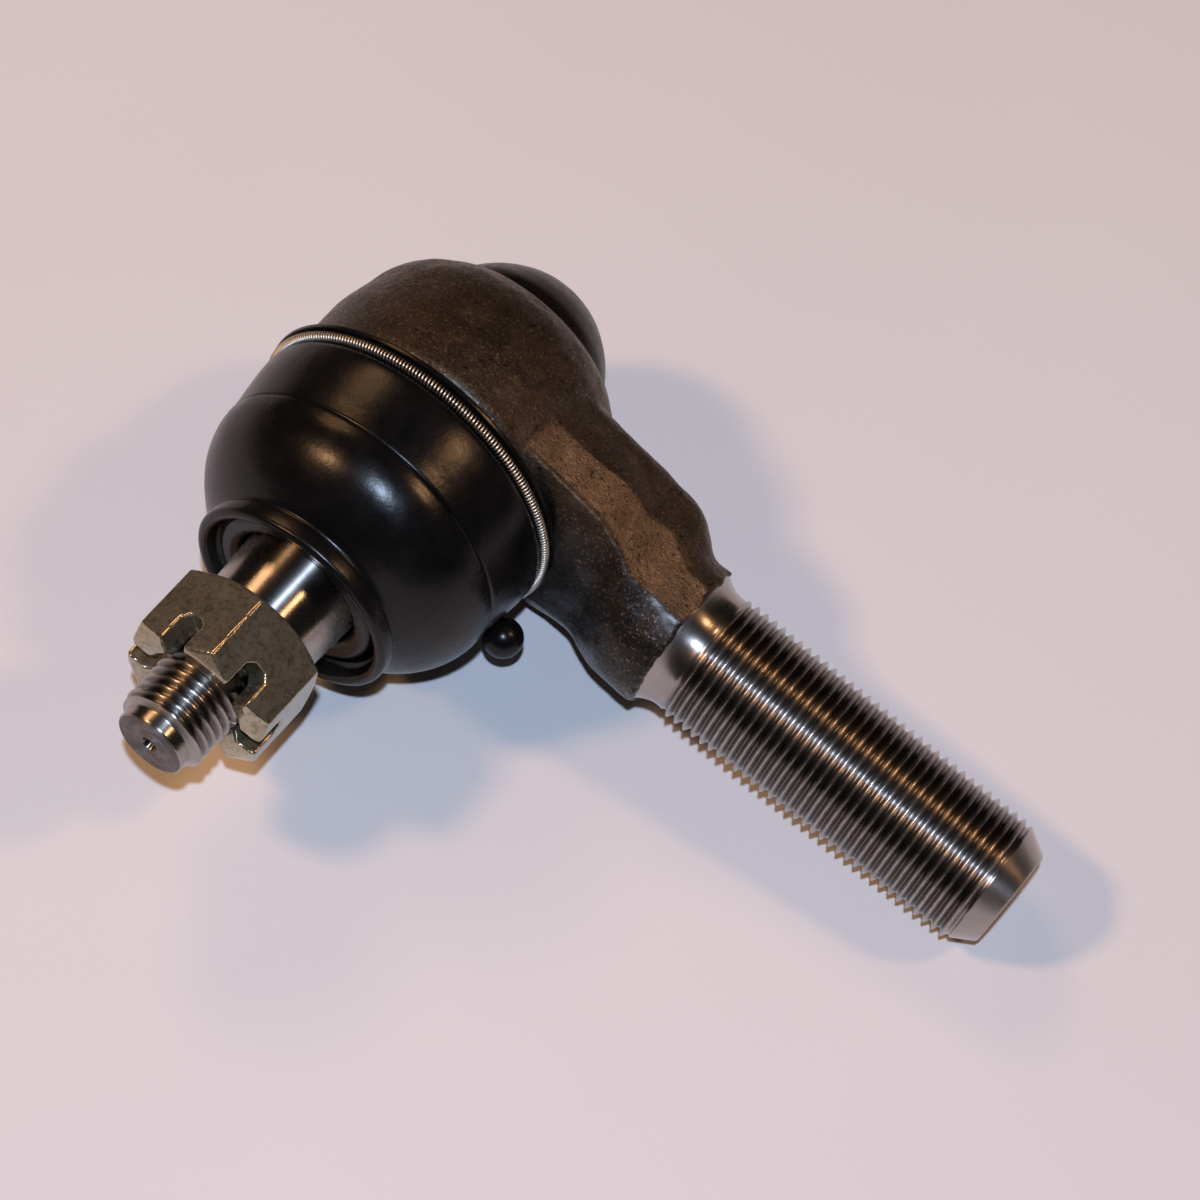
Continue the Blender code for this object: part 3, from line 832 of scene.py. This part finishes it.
def nut_slot(turn):
    """A cutter right across the nut, with the slot's cut corners, at this angle about the stud."""
    out = np.array([math.cos(turn), math.sin(turn)])
    side = np.array([-math.sin(turn), math.cos(turn)])
    floor_y = NUT_FRONT + SLOT_DEPTH
    half_section = [
        (SLOT_HALF - SLOT_CORNER, floor_y), (SLOT_HALF, floor_y - SLOT_CORNER), (SLOT_HALF, NUT_FRONT - 1),
    ]
    section = [(-across, y) for across, y in reversed(half_section)] + half_section
    ends = []
    for reach in (-15.0, 15.0):
        flat = [(out * reach + side * across, y) for across, y in section]
        ends.append([(place[0], y, place[1]) for place, y in flat])
    return prism("slot", *ends)


def slotted_nut():
    """Hexagon with both faces chamfered, a bore with lead-ins, and six slots."""
    corner = NUT_FLAT / math.cos(math.pi / 6)
    corners = [(corner * math.cos(a), corner * math.sin(a)) for a in np.radians(30 + 60 * np.arange(6))]
    ends = [[(x, y, z) for x, z in corners] for y in (NUT_FRONT, NUT_REAR)]
    nut = prism("slotted_nut", *ends)
    edge = NUT_FLAT - 0.45
    rear_half = [
        (NUT_REAR + 0.5, 0.0), (NUT_REAR + 0.5, edge - 0.5 / NUT_CHAMFER), (NUT_REAR, edge),
        (NUT_REAR - 2.0, edge + 2.0 / NUT_CHAMFER),
    ]
    middle = (NUT_FRONT + NUT_REAR) / 2
    front_half = [(2 * middle - y, radius) for y, radius in reversed(rear_half)]
    boolean(nut, lathe("cone", rear_half + front_half, 192, closed=False), "INTERSECT")
    bore = [
        (NUT_REAR + 1, 0.0), (NUT_REAR + 1, 8.0), (NUT_REAR - 0.9, 6.78), (NUT_FRONT + 1.3, 6.78),
        (NUT_FRONT - 0.3, 8.4), (NUT_FRONT - 0.3, 0.0),
    ]
    boolean(nut, lathe("bore", bore, 96, closed=False), "DIFFERENCE")
    for k in range(3):
        boolean(nut, nut_slot(math.radians(60 * k)), "DIFFERENCE")
    remeshed(nut, 0.21)
    # The inside mask paints shade into the bore.
    mask(nut.data, "inside", smoothstep(7.4, 6.9, from_axis(local_coordinates(nut.data))))
    finish_piece(nut, "nut", ZINC, "zinc_plate", "castle_nut")


# ---------------------------------------------------------------- boot


GARTER_Y = -6.5
GARTER_RADIUS = 23.62


def boot_sag(rows):
    """The boot's small end hangs a little to one side, and its wall isn't perfectly round."""
    y = rows[..., 1]
    angle = np.arctan2(rows[..., 2], rows[..., 0])
    share = smoothstep(-14.0, -31.0, y)
    rows[..., 0] += 0.45 * share
    rows[..., 2] -= 0.25 * share
    swell = 0.10 * np.sin(2 * angle + 0.6) * smoothstep(-8, -16, y) * (1 - smoothstep(-27, -30, y))
    rows[..., 0] += swell * np.cos(angle)
    rows[..., 2] += swell * np.sin(angle)
    return rows


def boot_profile():
    """The boot's section: rear bead, garter groove, wall with its seam, lipped mouth and inside."""
    bead = rounded(
        [(-4.75, 21.3, 0.2), (-4.6, 23.9, 0.4), (-4.85, 24.65, 0.4), (-5.5, 24.55, 0.35)], 0.2
    )[1:]
    angles = np.radians(np.linspace(5, 165, 13))
    groove = [(GARTER_Y + math.cos(a), GARTER_RADIUS + 0.03 - math.sin(a)) for a in angles]
    wall = curve_through(
        [(-7.6, 23.6), (-8.4, 23.85), (-10.5, 23.8), (-13.0, 23.55), (-15.5, 23.2), (-17.1, 23.0)], 5
    )
    seam = [(-17.4, 22.97), (-17.58, 22.86), (-17.7, 22.70), (-17.82, 22.88), (-17.95, 23.06)]
    front = curve_through(
        [
            (-18.2, 23.1), (-20.0, 22.95), (-22.0, 22.4), (-24.0, 21.45), (-26.0, 20.0), (-27.6, 18.4),
            (-28.9, 16.7), (-29.7, 15.6), (-30.1, 15.35),
        ],
        5,
    )
    lip = rounded(
        [
            (-30.35, 15.4, 0), (-30.6, 15.95, 0.4), (-32.8, 16.0, 0.6), (-33.3, 15.2, 0.5),
            (-33.05, 14.3, 0.35), (-31.3, 13.9, 0.4), (-30.9, 13.35, 0.2), (-27.2, 13.35, 0.3),
        ],
        0.4,
    )
    inner = curve_through(
        [(-26.6, 14.3), (-25.2, 16.6), (-22.8, 19.1), (-18.0, 20.7), (-12.0, 21.55), (-9.3, 21.4)], 5
    )
    clamp = [(-8.9, 21.0), (-4.9, 21.0)]
    return bead + groove + wall + seam + front + lip + inner + clamp


def boot_skin():
    """The boot, which runs between the housing's groove and the stud."""
    boot = lathe("boot_skin", boot_profile(), 192, warp=boot_sag, sharp=45)
    mesh = boot.data
    points = local_coordinates(mesh)
    radius = from_axis(points)
    weight = smoothstep(-7.9, -9.5, points[:, 1]) * smoothstep(14.5, 16.0, radius)
    uneven = 1 + wave_noise(points, 7.0, 4) * 0.10 * weight / np.maximum(radius, 1)
    points[:, 0] *= uneven
    points[:, 2] *= uneven
    set_local(mesh, points)
    finish_piece(boot, None, RUBBER, "rubber", "dust_boot")
    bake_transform(boot)


def collar_ring():
    """The boot's inner ring, which grips the stud."""
    profile = rounded(
        [
            (-27.5, 12.95), (-31.35, 12.95, 0.5), (-31.75, 12.2, 0.3), (-31.75, 10.6, 0.4),
            (-31.1, 9.8, 0.3), (-30.2, 9.72, 0.3), (-27.5, 9.8),
        ],
        closed=True,
    )
    finish_piece(lathe("collar_ring", profile, 160), "boot_mouth", RUBBER, "rubber", "boot_collar")


VENT_Y = -12.8
VENT_ANGLE = -20
VENT_BALL_RADIUS = 2.95
VENT_BALL_REACH = 26.15


def vent_nub():
    """Moulded ball on a short neck on the side of the boot."""
    turn = math.radians(VENT_ANGLE)
    axis = np.array([math.cos(turn), 0.0, math.sin(turn)])
    side = np.array([0.0, 1.0, 0.0])
    third = np.cross(axis, side)
    angles = np.radians(np.linspace(-58, 90, 22))
    reach, radius = VENT_BALL_REACH, VENT_BALL_RADIUS
    ball = [(reach + radius * math.sin(a), radius * math.cos(a)) for a in angles]
    foot = [(20.4, 0.0), (20.4, 1.6), (21.0, 1.85), (21.2, 1.3), (22.2, 1.25)]
    neck = curve_through([(22.6, 1.5), (23.1, 1.42), (23.2, 1.43)], 3)
    rings = ring_points(foot + neck + ball, 48, "X")
    rows = np.array([0, VENT_Y, 0]) + rings @ np.stack([axis, side, third])
    finish_piece(skin("vent_nub", rows), "boot", RUBBER, "rubber", "vent_plug")


def wire_rings(path, ahead, outward, radius, around):
    """Rings of points round a wire's path, square to its direction."""
    ahead = ahead / np.linalg.norm(ahead, axis=1)[:, None]
    across = np.cross(ahead, outward)
    across /= np.linalg.norm(across, axis=1)[:, None]
    rings = []
    for k in range(around):
        turn = math.tau * k / around
        rings.append(path + radius * (math.cos(turn) * outward + math.sin(turn) * across))
    return np.stack(rings, 1)


def garter_coil():
    """A close-wound wire coil bent into a ring in the boot's groove."""
    turns, per_turn, around = 286, 14, 6
    coil, wire = 0.62, 0.165
    count = turns * per_turn
    t = np.arange(count) / count * math.tau
    winding = t * turns
    reach = GARTER_RADIUS + coil * np.cos(winding)
    path = np.stack([reach * np.cos(t), GARTER_Y + coil * np.sin(winding), reach * np.sin(t)], 1)
    ahead = np.roll(path, -1, axis=0) - np.roll(path, 1, axis=0)
    outward = np.stack([np.cos(winding) * np.cos(t), np.sin(winding), np.cos(winding) * np.sin(t)], 1)
    points = wire_rings(path, ahead, outward, wire, around).reshape(-1, 3)
    garter = make_object("garter_coil", world(points), grid_faces(count, around, True), sharp=180)
    # The mask paints shade into the gaps between the turns.
    from_core = np.hypot(from_axis(points) - GARTER_RADIUS, points[:, 1] - GARTER_Y)
    mask(garter.data, "groove", smoothstep(coil + 0.85 * wire, coil - 0.1 * wire, from_core))
    finish_piece(garter, "boot", COIL_STEEL, "spring_steel", "garter_spring")


# ---------------------------------------------------------------- cap and seat spring


def cap_dome():
    """The pressed cap: flange under the rolled rim, short neck and dome."""
    dome = curve_through(
        [
            (19.2, 14.15), (20.0, 14.05), (21.5, 13.6), (23.0, 12.75), (24.6, 11.6), (26.2, 10.1),
            (27.8, 8.2), (29.2, 5.7), (30.1, 3.0), (30.4, 0.0),
        ],
        5,
    )
    flange = [(15.9, 12.5), (15.9, 16.1), (17.4, 16.1)]
    neck = rounded([(17.45, 15.9, 0), (17.5, 14.2, 0.5), (19.1, 14.15, 0)])
    inside = curve_through(
        [
            (28.9, 0.0), (28.6, 2.8), (27.7, 5.1), (26.4, 7.4), (24.6, 9.4), (22.0, 11.4), (19.5, 12.4),
            (17.0, 12.6),
        ],
        5,
    )
    profile = inside + flange + neck + dome
    finish_piece(lathe("cap_dome", profile, 144, closed=False), "housing", CAP, "cap_steel", "end_cap")


def seat_coil():
    """The spring behind the pressure seat."""
    turns, per_turn, around = 3, 40, 14
    wire, coil, seat_end, cap_end = 1.08, 7.2, 16.2, 23.6
    share = np.linspace(0, 1, turns * per_turn + 1)
    turn = -math.tau * turns * share
    path = np.stack([coil * np.cos(turn), seat_end + (cap_end - seat_end) * share, coil * np.sin(turn)], 1)
    outward = np.stack([np.cos(turn), 0 * turn, np.sin(turn)], 1)
    rings = wire_rings(path, np.gradient(path, axis=0), outward, wire, around)
    spring = skin("seat_coil", rings, sharp=60)
    finish_piece(spring, "housing", COIL_STEEL, "spring_steel", "seat_spring")
    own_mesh(spring)


housing_forging()
housing_rim()
housing_shank()
stud_body()
stud_thread()
slotted_nut()
boot_skin()
collar_ring()
vent_nub()
garter_coil()
cap_dome()
seat_coil()
for node in ("bearing_ring", "pressure_seat"):
    mesh = frame["nodes"][node].data
    mesh.materials.clear()
    mesh.materials.append(RESIN)

# ---------------------------------------------------------------- floor, light and camera

HALF_FLOOR = 1.6
floor_mesh = bpy.data.meshes.new("floor")
corners = [(x * HALF_FLOOR, y * HALF_FLOOR, 0) for x, y in ((-1, -1), (1, -1), (1, 1), (-1, 1))]
floor_mesh.from_pydata(corners, [], [(0, 1, 2, 3)])
floor = bpy.data.objects.new("floor", floor_mesh)
bpy.context.scene.collection.objects.link(floor)
floor_mesh.materials.append(floor_material())

# The camera's place in mm about the ball, and its axes
CAMERA_PLACE = np.array([88.8, -295.2, 542.9])
CAMERA_BACK = np.array([0.0915, -0.4714, 0.8772])
CAMERA_RIGHT = np.array([0.7780, 0.5837, 0.2325])
back = CAMERA_BACK / np.linalg.norm(CAMERA_BACK)
right = CAMERA_RIGHT - back * (CAMERA_RIGHT @ back)
right = right / np.linalg.norm(right)
up = np.cross(back, right)
camera_data = bpy.data.cameras.new("camera")
camera_data.lens = 135
camera_data.sensor_width = 36
camera_data.clip_start = 0.01
camera = bpy.data.objects.new("camera", camera_data)
bpy.context.scene.collection.objects.link(camera)
turn = Matrix(np.stack([right @ BASIS, up @ BASIS, back @ BASIS], 1).tolist()).to_4x4()
camera.matrix_world = Matrix.Translation(Vector(world(CAMERA_PLACE))) @ turn
bpy.context.scene.camera = camera

# Middle of the part, at which the lights point, and the lamps' distance, in mm
LIT_POINT = (10, -5, 0)
LAMP_DISTANCE = 2000
FLASH_COLOUR = (0.61, 0.75, 1.0)
LAMP_COLOUR = (1.0, 0.55, 0.27)


def area_light(name, place, size, power, colour):
    """A square light at a place in mm about the ball; its size is in metres and its power in watts."""
    data = bpy.data.lights.new(name, "AREA")
    data.size = size
    data.energy = power
    data.color = colour
    found = bpy.data.objects.new(name, data)
    bpy.context.scene.collection.objects.link(found)
    spot = Vector(world(place))
    found.location = spot
    found.rotation_euler = (spot - Vector(world(LIT_POINT))).to_track_quat("Z", "Y").to_euler()


area_light("flash", (CAMERA_PLACE + up * 68) * 1.35, 0.021, 5.15, FLASH_COLOUR)
for name, direction, size, power in (
    ("lamp_front", (-0.603, -0.446, 0.662), 0.24, 13.8),
    ("lamp_left", (-0.700, 0.300, 0.648), 0.55, 5.6),
    ("lamp_right", (0.402, 0.297, 0.864), 0.24, 7.0),
):
    area_light(name, np.array(direction) * LAMP_DISTANCE, size, power, LAMP_COLOUR)
sky = bpy.data.worlds.new("room")
bpy.context.scene.world = sky
sky.use_nodes = True
background = sky.node_tree.nodes["Background"]
background.inputs["Color"].default_value = (1.0, 0.93, 0.88, 1)
background.inputs["Strength"].default_value = 0.014
bpy.context.scene.view_settings.view_transform = "Standard"

bpy.context.view_layer.update()
